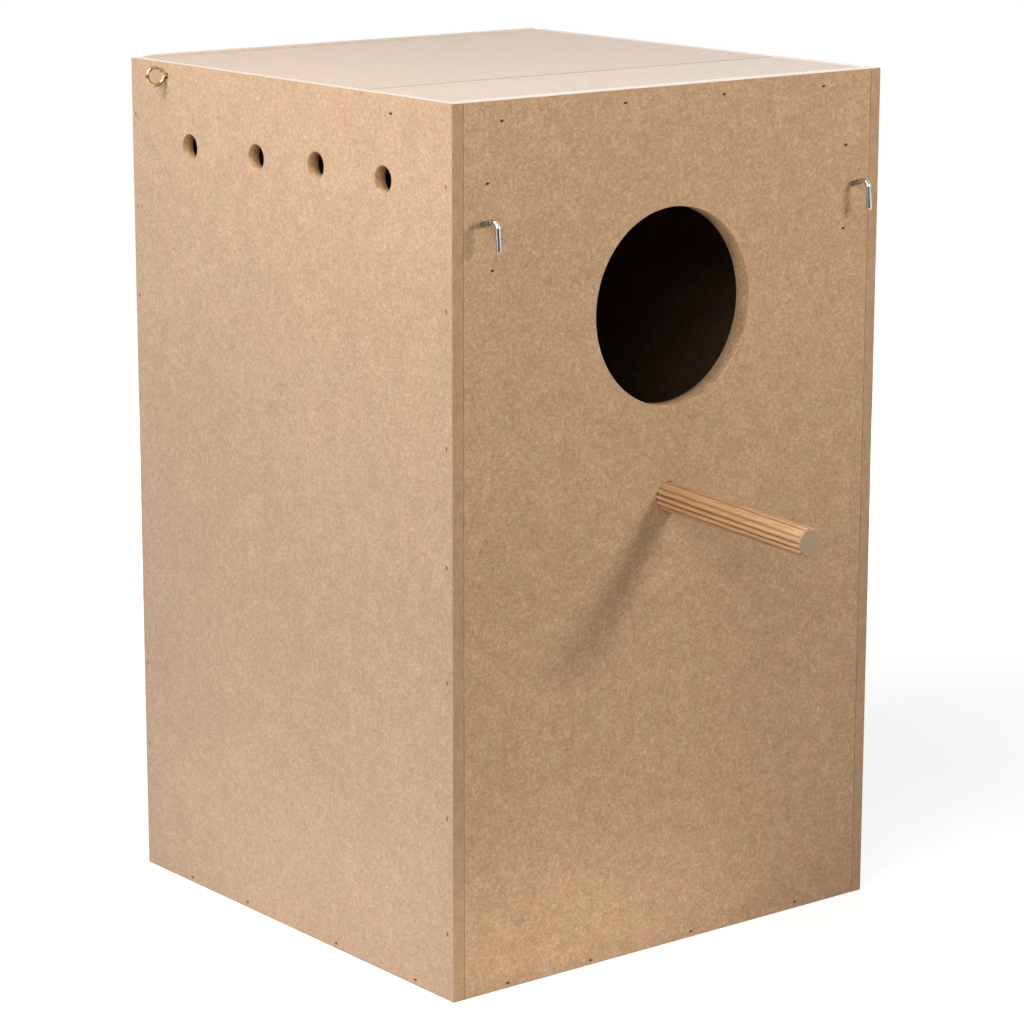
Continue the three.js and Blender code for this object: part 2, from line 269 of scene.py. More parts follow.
def fibreFlecks(tree, shift, turns, edge):  # short straight fibres that lie in several directions
    total = None
    for turn in turns:
        streak = noise(tree, placed(tree, shift, turn, fibreboard["fleckStretch"]), 1.0, 1.0, 0.4)
        streak = ranged(tree, streak, edge, edge + fibreboard["fleckEdge"])
        total = streak if total is None else figure(tree, "MAXIMUM", total, streak)
    return total


def faceFinish(name, shift, tone, sheen, shine):  # the pressed and sanded face of the sheet
    finish, tree, shader = newFinish(name, shine)
    shader.inputs["Sheen Weight"].default_value = sheen
    shader.inputs["Sheen Roughness"].default_value = fibreboard["sheenRough"]
    spot = placed(tree, shift)
    cloud = noise(tree, spot, fibreboard["cloud"][0], 2.0, 0.5)
    patch = noise(tree, spot, fibreboard["patch"][0], 2.0, 0.6, 0.3)
    mottle = noise(tree, spot, fibreboard["mottle"][0], 2.0, 0.6)
    crumb = noise(tree, spot, fibreboard["crumb"][0], 1.0, 0.5)
    grain = noise(tree, spot, fibreboard["grain"][0], 2.0, 0.7)
    pale = fibreFlecks(tree, shift, fibreboard["paleTurns"], fibreboard["paleFrom"])
    darkShift = [part + fibreboard["darkShift"] for part in shift]
    dark = fibreFlecks(tree, darkShift, fibreboard["darkTurns"], fibreboard["darkFrom"])
    value = summed(tree, 0.5, ((cloud, fibreboard["cloud"][1]), (patch, fibreboard["patch"][1]),
                               (mottle, fibreboard["mottle"][1]), (crumb, fibreboard["crumb"][1]),
                               (grain, fibreboard["grain"][1])))
    colour = ramp(tree, value, ((0.0, fibreboard["dark"]), (0.5, fibreboard["middle"]),
                                (1.0, fibreboard["pale"])))
    hueShift = [part + fibreboard["hueShift"] for part in shift]
    hue = noise(tree, placed(tree, hueShift), fibreboard["hueScale"], 3.0, 0.55)
    hue = ranged(tree, hue, *fibreboard["hueSpan"])
    hue = blended(tree, hue, fibreboard["rosy"], fibreboard["olive"])
    colour = blended(tree, 1.0, colour, hue, "MULTIPLY")
    colour = tinted(tree, colour, pale, fibreboard["paleFlecks"], fibreboard["fibre"])
    colour = tinted(tree, colour, dark, fibreboard["darkFlecks"], fibreboard["speck"])
    cell = addNode(tree, "ShaderNodeTexVoronoi", {"Vector": spot, "Scale": fibreboard["speckScale"],
                                                  "Randomness": 1.0})
    rare = addNode(tree, "ShaderNodeSeparateColor", {0: cell.outputs["Color"]}).outputs[0]
    speck = figure(tree, "MULTIPLY", ranged(tree, cell.outputs["Distance"], *fibreboard["speckWide"]),
                   ranged(tree, rare, *fibreboard["speckRare"]))
    colour = tinted(tree, colour, speck, fibreboard["specks"], fibreboard["speck"])
    tree.links.new(toned(tree, colour, tone), shader.inputs["Base Color"])
    rough = ranged(tree, figure(tree, "ADD", mottle, grain), 0.7, 1.3, *fibreboard["faceRough"])
    tree.links.new(rough, shader.inputs["Roughness"])
    height = summed(tree, 0.5, ((mottle, 0.5), (grain, 0.9), (pale, 0.25)))
    raised(tree, shader, height, fibreboard["bump"], fibreboard["bumpDeep"])
    return finish


def sawnFinish(name, shift, thinAxis, tone, contrast, sheen):  # a sawn or bored edge, where the layers show
    finish, tree, shader = newFinish(name, fibreboard["shine"])
    shader.inputs["Sheen Weight"].default_value = sheen
    shader.inputs["Sheen Roughness"].default_value = fibreboard["sheenRough"]
    spot = placed(tree, shift)
    stretch = [fibreboard["layerAlong"]] * 3
    stretch[thinAxis] = fibreboard["layerAcross"]
    layers = noise(tree, placed(tree, shift, (0, 0, 0), stretch), 1.0, 3.0, 0.6)
    patch = noise(tree, spot, fibreboard["sawnPatch"], 3.0, 0.6)
    crumb = noise(tree, spot, fibreboard["sawnCrumb"], 4.0, 0.75)
    value = summed(tree, 0.5, ((layers, 0.35), (patch, 0.35 * contrast), (crumb, 0.7 * contrast)))
    colour = ramp(tree, value, ((0.0, fibreboard["sawnDark"]), (0.5, fibreboard["sawnMiddle"]),
                                (1.0, fibreboard["sawnPale"])))
    tree.links.new(toned(tree, colour, tone), shader.inputs["Base Color"])
    tree.links.new(ranged(tree, crumb, 0.3, 0.7, *fibreboard["sawnRough"]), shader.inputs["Roughness"])
    height = summed(tree, 0.5, ((layers, 0.4), (crumb, 1.0)))
    raised(tree, shader, height, fibreboard["sawnBump"], fibreboard["sawnBumpDeep"])
    return finish


# Boards

boards = {
    "sideThick": 6.0, "frontThick": 9.0, "snug": 0.1, "lidSnug": 0.5,
    "arris": 0.35, "seamArris": 0.06, "arrisSteps": 3,
    # planedLitTone is paler than the lid's tone: painted light, so that the planed slope, which faces the
    # lamps less, shows as bright as the lid
    "planed": 1.4, "runOut": 7.0, "endDrop": 0.85, "planedLitTone": 0.9, "backSheen": 0.85,
    "entranceWide": 90.0, "entranceMiddle": (0.0, 301.0), "entranceRim": 0.45, "entranceSides": 128,
    "ventWide": 12.0, "ventRim": 0.3, "ventSides": 48,
    "vents": ((-75.75, 363.0), (-25.5, 364.08), (21.25, 362.76), (75.75, 362.16)),
    "bitPast": 2.0,  # how far a cutter stands out of the face
    "pivot": (94.5, 394.0), "pivotWide": 2.6, "pivotRim": (0.2, 0.3), "pivotDeep": 17.3, "pivotSides": 24,
    "perchRoot": (-2.4, -125.0, 214.4), "perchDroop": 3.1, "socketWide": 13.7, "socketDeep": 11.0,
    "socketSides": 56,
    "hookAcross": 108.6, "hookUp": 347.5, "hookTilt": 16.0, "hookHoleWide": 2.5, "hookHoleDeep": 20.8,
    "hookHoleSides": 24,
    "arrisTone": 1.02, "arrisContrast": 0.8, "boredTone": 1.15, "boredContrast": 2.0,
    "patternShift": (0.31, 0.17, 0.23),  # from each board to the next, so that no two look alike
    "tones": {  # how light each board is, and its sheen
        "front_panel": (1.0, 0.2), "side_panel_left": (0.945, 1.0), "side_panel_right": (0.945, 0.8),
        "top_strip": (0.81, 0.48), "lid": (0.83, 0.45), "back_panel": (0.98, 0.5), "base_panel": (0.97, 0.3),
        "lid_rest": (0.97, 0.3), "hook_block_left": (0.98, 0.3), "hook_block_right": (0.98, 0.3)},
    "polished": {"side_panel_left": 0.75, "side_panel_right": 0.75},  # sanded finer, so they gleam more
}
onFace, onSawn, onArris, inBore, onInner, onPlaned = range(6)  # a board's finishes, in their order
boxHalf = 0.125  # half of the box's width and of its depth
boxPlanes = ((-boxHalf, boxHalf), (-boxHalf, boxHalf), (0.0, 0.4))


def onBoxPlane(value, axis):
    low, high = boxPlanes[axis]
    return value < low + hair or value > high - hair


def boardFinishes(node, number, thin):
    shift = [part * number for part in boards["patternShift"]]
    tone, sheen = boards["tones"][node]
    shine = boards["polished"].get(node, fibreboard["shine"])
    finishes = [
        faceFinish(node + "_face", shift, tone, sheen, shine),
        sawnFinish(node + "_sawn", shift, thin, tone, 1.0, fibreboard["sawnSheen"]),
        sawnFinish(node + "_arris", shift, thin, tone * boards["arrisTone"], boards["arrisContrast"],
                   fibreboard["sawnSheen"]),
        sawnFinish(node + "_bored", shift, thin, tone * boards["boredTone"], boards["boredContrast"], 0.0),
        # the faces inside the box take a darker tone: painted shade
        faceFinish(node + "_inner", shift, tone * fibreboard["innerShadeTone"], 0.0, fibreboard["shine"])]
    # the planed top of the back gets a paler face finish: painted light
    if node == "back_panel":
        finishes.append(faceFinish(node + "_planed_painted_light", shift, boards["planedLitTone"], boards["backSheen"],
                                   fibreboard["shine"]))
    return finishes


def sawBoard(node, number):  # a board cut to its size, its arrises broken by sanding
    low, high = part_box(node)
    if node in ("front_panel", "top_strip", "back_panel", "base_panel"):  # glued tight between the sides
        low.x -= boards["snug"] * mm
        high.x += boards["snug"] * mm
    if node == "top_strip":
        low.y -= boards["snug"] * mm
    if node == "lid":
        low.x -= boards["lidSnug"] * mm
        high.x += boards["lidSnug"] * mm
    size = high - low
    thin = min(range(3), key=lambda axis: size[axis])
    bpy.ops.object.select_all(action="DESELECT")
    bpy.ops.mesh.primitive_cube_add(size=1, location=(low + high) / 2, scale=size)
    board = nameIt(bpy.context.object, node + "_board")
    bpy.ops.object.transform_apply(location=True, rotation=True, scale=True)
    worn = low.x + boards["runOut"] * mm
    if node == "back_panel":  # its top edge is planed down to the lid and runs out at the left corner
        markInEdit(board, "VERT", lambda v: v.co.z > 0.1 and v.co.y < (low.y + high.y) / 2)
        bpy.ops.transform.translate(value=(0, 0, -boards["planed"] * mm))
        bpy.ops.mesh.select_all(action="SELECT")
        bpy.ops.mesh.bisect(plane_co=(worn, 0, 0), plane_no=(1, 0, 0))
        markInEdit(board, "VERT", lambda v: v.co.z > 0.4 and v.co.x < low.x + 0.001)
        bpy.ops.transform.translate(value=(0, 0, -boards["endDrop"] * mm))
        bpy.ops.object.mode_set(mode="OBJECT")
    for finish in boardFinishes(node, number, thin):
        board.data.materials.append(finish)
    weights = board.data.attributes.new("bevel_weight_edge", "FLOAT", "EDGE")
    seam = boards["seamArris"] / boards["arris"]
    for edge in board.data.edges:
        ends = [board.data.vertices[i].co for i in edge.vertices]
        outer = sum(abs(ends[0][axis] - ends[1][axis]) < 0.001
                    and all(onBoxPlane(end[axis], axis) for end in ends) for axis in range(3))
        cut = all(abs(end.x - worn) < 1e-6 for end in ends)
        weights.data[edge.index].value = 0.0 if cut else 1.0 if outer == 2 else seam
    for face in board.data.polygons:
        inward = any(abs(face.normal[axis]) > 0.9 and not onBoxPlane(face.center[axis], axis)
                     for axis in range(3))
        face.material_index = onSawn if abs(face.normal[thin]) < 0.9 else onInner if inward else onFace
        if node == "back_panel" and face.normal.z > 0.9:
            face.material_index = onPlaned
    sanding = board.modifiers.new("sanding", "BEVEL")
    sanding.limit_method = "WEIGHT"
    sanding.width = boards["arris"] * mm
    sanding.segments = boards["arrisSteps"]
    sanding.material = onArris
    pick(board)
    bpy.ops.object.modifier_apply(modifier=sanding.name)
    return board


def reaches(cutter, board):  # whether the boxes of the two pieces meet
    def span(piece, axis):
        values = [v.co[axis] for v in piece.data.vertices]
        return min(values), max(values)
    return all(span(cutter, axis)[0] < span(board, axis)[1] and span(cutter, axis)[1] > span(board, axis)[0]
               for axis in range(3))


def bore(board, cutters):
    near = [cutter for cutter in cutters if reaches(cutter, board)]
    if near:
        copies = [copyOf(cutter, "bit", Matrix()) for cutter in near]
        bit = joinAll(copies, "bit") if len(copies) > 1 else copies[0]
        bit.data.materials.clear()
        for finish in board.data.materials:
            bit.data.materials.append(finish)
        for face in bit.data.polygons:
            face.material_index = inBore
        drill = board.modifiers.new("drill", "BOOLEAN")
        drill.operation = "DIFFERENCE"
        drill.solver = "EXACT"
        drill.object = bit
        pick(board)
        bpy.ops.object.modifier_apply(modifier=drill.name)
        drop(bit)
    low, high = [[f(v.co[a] for v in board.data.vertices) for a in range(3)] for f in (min, max)]
    smoothExcept(board, lambda face: max(abs(n) for n in face.normal) > 0.9999 and any(
        abs(face.center[a] - end[a]) < 1e-6 for a in range(3) for end in (low, high)))
    return board


def boreStations(wide, rim, thick):  # a hole through a sheet, with both of its rims eased
    radius, past = wide / 2, boards["bitPast"]
    return [(-past * mm, (radius + rim + past) * mm), (0.0, (radius + rim) * mm), (rim * mm, radius * mm),
            ((thick - rim) * mm, radius * mm), (thick * mm, (radius + rim) * mm),
            ((thick + past) * mm, (radius + rim + past) * mm)]


def makeCutters():
    cutters = []
    past = boards["bitPast"] * mm
    across, up = boards["entranceMiddle"]
    stations = boreStations(boards["entranceWide"], boards["entranceRim"], boards["frontThick"])
    cutters.append(turnedBar("entranceBit", (across * mm, -boxHalf, up * mm), (0, 1, 0), stations,
                             boards["entranceSides"]))
    stations = boreStations(boards["ventWide"], boards["ventRim"], boards["sideThick"])
    for side in sideSigns.values():
        for along, up in boards["vents"]:
            spot = (side * boxHalf, along * mm, up * mm)
            cutters.append(turnedBar("ventBit", spot, (-side, 0, 0), stations, boards["ventSides"]))
        along, up = boards["pivot"]
        radius = boards["pivotWide"] / 2 * mm
        wider, deep = (size * mm for size in boards["pivotRim"])
        cutters.append(turnedBar("pivotBit", (side * boxHalf, along * mm, up * mm), (-side, 0, 0),
                                 [(-past, radius + wider + past), (0.0, radius + wider), (deep, radius),
                                  (boards["pivotDeep"] * mm, radius)], boards["pivotSides"]))
        tilt = math.radians(boards["hookTilt"])
        radius = boards["hookHoleWide"] / 2 * mm
        base = (side * boards["hookAcross"] * mm, -boxHalf, boards["hookUp"] * mm)
        cutters.append(turnedBar("hookBit", base, (0, math.cos(tilt), -math.sin(tilt)),
                                 [(-past, radius), (boards["hookHoleDeep"] * mm, radius)],
                                 boards["hookHoleSides"]))
    droop = math.radians(boards["perchDroop"])
    radius = boards["socketWide"] / 2 * mm
    way = (0, math.cos(droop), math.sin(droop))
    cutters.append(turnedBar("socketBit", Vector(boards["perchRoot"]) * mm, way,
                             [(-past, radius), (boards["socketDeep"] * mm, radius)], boards["socketSides"]))
    return cutters


# Brads: a flat strip with a narrow head and a chisel point, driven just under the face

brad = {
    "head": (2.0, 1.0, 0.8), "headEase": (0.3, 0.12), "neck": 0.02, "shank": (1.3, 1.0),
    "length": 16.0, "point": 1.5, "tip": (0.3, 0.9), "under": 0.5, "lean": 4.0,
    "slotOuter": 1.2, "slotMouth": (0.3, 0.25), "slotMouthDeep": 0.25, "slotEase": (0.08, 0.06),
    "slotDeep": 0.1,
    "backRow": (-0.094, -0.036, 0.031, 0.089), "backRowUp": 2.7,
    "pale": colourOf(78, 66, 54), "dark": colourOf(42, 32, 24), "shine": 0.5, "metal": 0.85, "grain": 900.0,
    "rough": (0.42, 0.65), "bump": 0.3, "bumpDeep": 0.00005,
}


def flatBar(name, stations):  # a flat bar along +Y through stations of (distance, width, height)
    bpy.ops.object.select_all(action="DESELECT")
    bpy.ops.mesh.primitive_plane_add(size=1, rotation=(math.radians(-90), 0, 0))
    bar = nameIt(bpy.context.object, name)
    bpy.ops.object.transform_apply(location=True, rotation=True, scale=True)
    here, width, height = stations[0]
    bpy.ops.object.mode_set(mode="EDIT")
    bpy.ops.mesh.select_all(action="SELECT")
    bpy.ops.transform.resize(value=(width * mm, 1, height * mm), center_override=(0, 0, 0))
    bpy.ops.transform.translate(value=(0, here * mm, 0))
    for there, nextWidth, nextHeight in stations[1:]:
        bpy.ops.mesh.extrude_region_move(TRANSFORM_OT_translate={"value": (0, (there - here) * mm, 0)})
        bpy.ops.transform.resize(value=(nextWidth / width, 1, nextHeight / height),
                                 center_override=(0, there * mm, 0))
        here, width, height = there, nextWidth, nextHeight
    bpy.ops.object.mode_set(mode="OBJECT")
    return closeUp(bar)


def bradPlaces():  # the brads' names, nodes and places, from the nodes' boxes
    places = []
    for node in sorted(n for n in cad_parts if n.startswith("brad_")):
        low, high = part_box(node)
        middle = (low + high) / 2
        upright = high.z - low.z > 0.0015
        if "front" in node:
            spot, turn = (middle.x, low.y, middle.z), 0
        elif "left" in node:
            spot, turn = (low.x, middle.y, middle.z), -90
        else:
            spot, turn = (high.x, middle.y, middle.z), 90
        places.append((node, spot, turn, upright))
    for i, across in enumerate(brad["backRow"]):
        spot = (across, boxHalf - brad["under"] * mm, brad["backRowUp"] * mm)
        places.append((f"brad_back_{i + 1:02d}", spot, 180, False))
    return places


def bradMatrix(spot, turn, upright):
    lean = (90 if upright else 0) + random.uniform(-brad["lean"], brad["lean"])
    return (Matrix.Translation(spot) @ Matrix.Rotation(math.radians(turn), 4, "Z")
            @ Matrix.Rotation(math.radians(lean), 4, "Y"))


def makeBrads():
    finish, tree, shader = newFinish("brad_steel", brad["shine"], brad["metal"])
    dull = noise(tree, placed(tree), brad["grain"], 4.0, 0.6)
    tree.links.new(ramp(tree, dull, ((0.3, brad["dark"]), (0.7, brad["pale"]))), shader.inputs["Base Color"])
    tree.links.new(ranged(tree, dull, 0.3, 0.7, *brad["rough"]), shader.inputs["Roughness"])
    raised(tree, shader, dull, brad["bump"], brad["bumpDeep"])
    headWidth, headHeight, headDeep = brad["head"]
    shankWidth, shankHeight = brad["shank"]
    narrower, easeDeep = brad["headEase"]
    neck = headDeep + brad["neck"]
    model = flatBar("bradModel", [
        (0.0, headWidth - narrower, headHeight - narrower), (easeDeep, headWidth, headHeight),
        (headDeep, headWidth, headHeight), (neck, shankWidth, shankHeight),
        (brad["length"] - brad["point"], shankWidth, shankHeight), (brad["length"], *brad["tip"])])
    (easeWidth, easeHeight), (mouthWidth, mouthHeight) = brad["slotEase"], brad["slotMouth"]
    outer, deeper = brad["slotOuter"], brad["slotDeep"]
    slotModel = flatBar("slotModel", [
        (-brad["under"] - 1.0, headWidth + outer, headHeight + outer),
        (-brad["under"], headWidth + mouthWidth, headHeight + mouthHeight),
        (-brad["under"] + brad["slotMouthDeep"], headWidth + easeWidth, headHeight + easeHeight),
        (headDeep + deeper, headWidth + easeWidth, headHeight + easeHeight),
        (neck + deeper, shankWidth + easeWidth, shankHeight + easeHeight),
        (brad["length"] + deeper, shankWidth + easeWidth, shankHeight + easeHeight)])
    model.data.materials.append(finish)
    slots = []
    for name, spot, turn, upright in bradPlaces():
        matrix = bradMatrix(spot, turn, upright)
        piece = copyOf(model, name + "_pin", matrix)
        slots.append(copyOf(slotModel, name + "_slot", matrix))
        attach(piece, "box")
        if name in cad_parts:
            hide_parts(name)
    drop(model)
    drop(slotModel)
    return slots


slots = makeBrads()
print("brads", len(slots))

cutters = makeCutters() + slots
for number, node in enumerate(boards["tones"], 1):
    board = bore(sawBoard(node, number), cutters)
    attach(board, "lid" if node == "lid" else "box")
    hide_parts(node)
    print("board", node, len(board.data.polygons), "faces")
for cutter in cutters:
    drop(cutter)


# Perch: a beech dowel with pressed flutes, glued into the front

perch = {
    "yaw": 1.2, "radius": 6.7, "inside": 9.0, "reach": 91.9, "chamfer": 0.8,
    "sides": 180, "steps": 12, "twist": 14.0,
    "grooves": (15.5, 53.5, 79.5, 103.5, 131.0, 155.0, 181.0, 206.0, 229.5, 256.0, 281.5, 305.0, 330.5,
                353.0),
    "grooveSteps": ((8.7, 0.05), (6.2, 0.3), (3.844, 0.45), (1.86, 0.2)),  # half widths, shares of the depth
    "grooveDeep": 0.8, "grooveFull": 0.9, "grooveSpread": (0.85, 1.15), "faint": {15.5: 0.7, 53.5: 0.5},
    "tip": ((0.4, 0.97), (0.6, 0.88)),  # steps over the chamfer, and how they narrow
    "pale": colourOf(224, 184, 139), "middle": colourOf(199, 154, 110), "dark": colourOf(162, 116, 76),
    # groove is the grooves' dark colour: partly the crushed wood of the pressed flutes, partly painted shade
    "groove": colourOf(96, 64, 36), "end": colourOf(181, 161, 134), "endDark": colourOf(142, 121, 95),
    "shine": 0.4, "streak": (900, 14, 900), "fuzz": (2600, 260, 2600),
    "ray": (1700, 420, 1700), "rayEdge": (0.64, 0.72), "rayShade": 0.5,
    "grooveCrushAndShade": 0.8, "rough": (0.45, 0.66), "bump": 0.5, "bumpDeep": 0.0002,
    "endShine": 0.3, "ringShift": (0.012, 0, -0.19), "ringTurn": (0, 24, 0), "ringScale": 190.0,
    "pore": 2600.0, "endRough": (0.7, 0.9),
}


def perchFinishes():
    finish, tree, shader = newFinish("beech_side", perch["shine"])
    turn = (boards["perchDroop"], 0, 0)
    streaks = noise(tree, placed(tree, (0.1, 0, 0), turn, perch["streak"]), 1.0, 4.0, 0.6)
    rays = noise(tree, placed(tree, (0.4, 0, 0), turn, perch["ray"]), 1.0, 1.0, 0.4)
    rays = ranged(tree, rays, *perch["rayEdge"])
    fuzz = noise(tree, placed(tree, (0, 0, 0), turn, perch["fuzz"]), 1.0, 3.0, 0.7)
    value = summed(tree, 0.5, ((streaks, 0.9), (fuzz, 0.45)))
    colour = ramp(tree, value, ((0.15, perch["dark"]), (0.5, perch["middle"]), (0.85, perch["pale"])))
    colour = tinted(tree, colour, rays, perch["rayShade"], perch["dark"])
    # the grooves are painted darker by their depth: partly the pressed flutes' crushed wood, partly painted
    # shade in their hollows
    deep = addNode(tree, "ShaderNodeAttribute", attribute_name="grooveShare").outputs["Fac"]
    colour = tinted(tree, colour, deep, perch["grooveCrushAndShade"], perch["groove"])
    tree.links.new(colour, shader.inputs["Base Color"])
    tree.links.new(ranged(tree, fuzz, 0.3, 0.7, *perch["rough"]), shader.inputs["Roughness"])
    raised(tree, shader, summed(tree, 0.5, ((streaks, 0.6), (fuzz, 0.8))), perch["bump"], perch["bumpDeep"])
    sawn, tree, shader = newFinish("beech_end", perch["endShine"])
    rings = addNode(tree, "ShaderNodeTexWave", {
        "Vector": placed(tree, perch["ringShift"], perch["ringTurn"]), "Scale": perch["ringScale"],
        "Distortion": 2.2, "Detail": 2.0, "Detail Scale": 3.0},
        wave_type="BANDS", bands_direction="Z").outputs["Fac"]
    pores = noise(tree, placed(tree), perch["pore"], 2.0, 0.6)
    value = summed(tree, 0.5, ((rings, 0.05), (pores, 0.7)))
    colour = ramp(tree, value, ((0.2, perch["endDark"]), (0.8, perch["end"])))
    tree.links.new(colour, shader.inputs["Base Color"])
    tree.links.new(ranged(tree, pores, 0.3, 0.7, *perch["endRough"]), shader.inputs["Roughness"])
    raised(tree, shader, pores, perch["bump"], perch["bumpDeep"])
    return finish, sawn


def makePerch():
    droop = math.radians(boards["perchDroop"])
    way = Vector((math.sin(math.radians(perch["yaw"])), -math.cos(droop), -math.sin(droop))).normalized()
    root = Vector(boards["perchRoot"]) * mm
    radius = perch["radius"] * mm
    start = root - way * perch["inside"] * mm
    piece = newDisc("perch_dowel", start, way, radius, perch["sides"])
    up = Vector((0, -math.sin(droop), math.cos(droop)))

    def turnOf(point):  # angle from the top round towards the left, in degrees
        out = point - root
        out -= way * out.dot(way)
        return math.degrees(math.atan2(-out.x, out.dot(up))) % 360

    def apart(point, groove):
        return abs((turnOf(point) - groove + 180) % 360 - 180)

    for groove in perch["grooves"]:
        deep = perch["grooveDeep"] * random.uniform(*perch["grooveSpread"]) * perch["faint"].get(groove, 1.0)
        for reach, share in perch["grooveSteps"]:
            markInEdit(piece, "VERT", lambda v: apart(v.co, groove - perch["twist"] * 0.5) < reach)
            part = 1 - deep * share * mm / radius
            bpy.ops.transform.resize(value=(part, part, part), center_override=start)
    length = perch["inside"] + perch["reach"]
    steps = perch["steps"]
    markInEdit(piece, "FACE", lambda f: True)
    bpy.ops.transform.resize(value=(1 - perch["chamfer"] * mm / radius,) * 3, center_override=start)
    widen = 1 / (1 - perch["chamfer"] * mm / radius)
    middle = (length - 2 * perch["chamfer"]) / steps
    stations = [(perch["chamfer"], widen)] + [(middle, 1.0)] * steps
    stations += [(perch["chamfer"] * share, wider) for share, wider in perch["tip"]]
    here = 0.0
    for step, wider in stations:
        here += step * mm
        drawOut(way * step * mm, wider, start + way * here)
        bpy.ops.transform.rotate(value=math.radians(perch["twist"] * step / length), orient_axis="Y",
                                 orient_type="GLOBAL", center_override=start + way * here)
        if wider < 1:  # the chamfer is made round again, without the grooves
            bpy.ops.transform.tosphere(value=1.0 if wider < 0.9 else 0.5, center_override=start + way * here)
    bpy.ops.object.mode_set(mode="OBJECT")
    closeUp(piece)
    finish, sawn = perchFinishes()
    piece.data.materials.append(finish)
    piece.data.materials.append(sawn)
    for face in piece.data.polygons:
        face.material_index = 1 if abs(face.normal.dot(way)) > 0.97 else 0
    smoothExcept(piece, lambda face: abs(face.normal.dot(way)) > 0.3)
    share = piece.data.attributes.new("grooveShare", "FLOAT", "POINT")
    for point in piece.data.vertices:
        out = point.co - root
        along = out.dot(way)
        out -= way * along
        ends = min(along + perch["inside"] * mm, perch["reach"] * mm - along) / (perch["chamfer"] * mm)
        full = radius - max(0.0, 1.0 - ends) * perch["chamfer"] * mm
        sunk = (full - out.length) / (perch["grooveDeep"] * perch["grooveFull"] * mm)
        share.data[point.index].value = min(1.0, max(0.0, sunk))
    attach(piece, "box")
    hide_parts("perch")
    return piece


dowel = makePerch()
print("perch", len(dowel.data.polygons), "faces")


# Bent wire: the cage hooks and the screw eyes

wireStyle = {
    "bare": 0.4,  # plain wire before a thread starts
    "endStep": 0.18, "endNarrow": 0.8, "metal": 1.0, "shine": 0.5,
    "cloud": 420.0, "cloudEdge": (0.3, 0.62), "fine": 3600.0, "bump": 0.12, "bumpDeep": 0.00003,
}


def startWire(name, start, way, radius, sides):
    piece = newDisc(name, start, way, radius, sides, filled=False)
    bpy.ops.object.mode_set(mode="EDIT")
    bpy.ops.mesh.select_mode(type="EDGE")
    bpy.ops.mesh.select_all(action="SELECT")
    return piece


def drawThread(point, way, length, radius, depth, pitch):  # turns of a thread, as ridges
    inwards, outwards = (radius - depth) / radius, radius / (radius - depth)
    for _ in range(int(length / pitch)):
        for step, wider in ((0.2, inwards), (0.3, 1.0), (0.2, outwards), (0.3, 1.0)):
            point = point + way * step * pitch
            drawOut(way * step * pitch, wider, point)
    return point


def turnOn(steps, angle, centre, axis):  # spin turns clockwise about its axis
    bpy.ops.mesh.spin(steps=steps, angle=-angle, center=centre, axis=axis)


def endWire(piece, way, radius):  # closes the end with a small chamfer
    bpy.ops.mesh.edge_face_add()
    bpy.ops.object.mode_set(mode="OBJECT")
    ring = [v.co for v in piece.data.vertices if v.select]
    middle = sum(ring, Vector()) / max(1, len(ring))
    bpy.ops.object.mode_set(mode="EDIT")
    step = way * radius * wireStyle["endStep"]
    drawOut(step, wireStyle["endNarrow"], middle + step)
    bpy.ops.object.mode_set(mode="OBJECT")


def capStart(piece, start, radius):
    markInEdit(piece, "VERT", lambda v: (v.co - start).length < radius * 1.05)
    bpy.ops.mesh.edge_face_add()
    bpy.ops.object.mode_set(mode="OBJECT")


def metalFinish(name, pale, dark, rough):
    finish, tree, shader = newFinish(name, wireStyle["shine"], wireStyle["metal"], rough)
    spot = placed(tree)
    cloud = noise(tree, spot, wireStyle["cloud"], 4.0, 0.6)
    fine = noise(tree, spot, wireStyle["fine"], 2.0, 0.5)
    low, high = wireStyle["cloudEdge"]
    tree.links.new(ramp(tree, cloud, ((low, dark), (high, pale))), shader.inputs["Base Color"])
    tree.links.new(ranged(tree, cloud, 0.3, 0.7, rough + 0.1, rough - 0.05), shader.inputs["Roughness"])
    raised(tree, shader, fine, wireStyle["bump"], wireStyle["bumpDeep"])
    return finish


hook = {  # behind is the way through the sheet and its gap, before the grip
    "wire": 2.4, "reach": 10.0, "leg": 13.2, "bend": 3.0, "splay": 5.0, "behind": 9.3, "grip": 11.0,
    "sides": 24, "bendSteps": 14, "legTrim": 0.98, "legTip": 0.4,
    "threadDeep": 0.34, "threadOut": 7.0, "pitch": 1.0,
    "pale": colourOf(214, 215, 214), "dark": colourOf(160, 162, 164), "rough": 0.16,
    # rootShadePale and rootShadeDark paint the thread's valleys dark: painted shade
    "rootShadePale": colourOf(86, 79, 57), "rootShadeDark": colourOf(62, 56, 39), "rootRough": 0.5,
}
eye = {  # bent is how far the ring leans back, in degrees, and nodeWire is the wire that the ring clears
    "wire": 1.8, "bent": {"left": 12.0, "right": 4.0}, "ring": 4.1, "fillet": 1.5, "standOff": 0.3,
    "nodeWire": 2.0, "endGap": 0.15, "behind": 7.0, "grip": 10.0,
    "sides": 20, "filletSteps": 6, "ringSteps": 52, "threadDeep": 0.22, "threadShort": 1.5, "pitch": 0.9,
    "pale": colourOf(222, 194, 142), "dark": colourOf(104, 74, 34), "rough": 0.16,
}


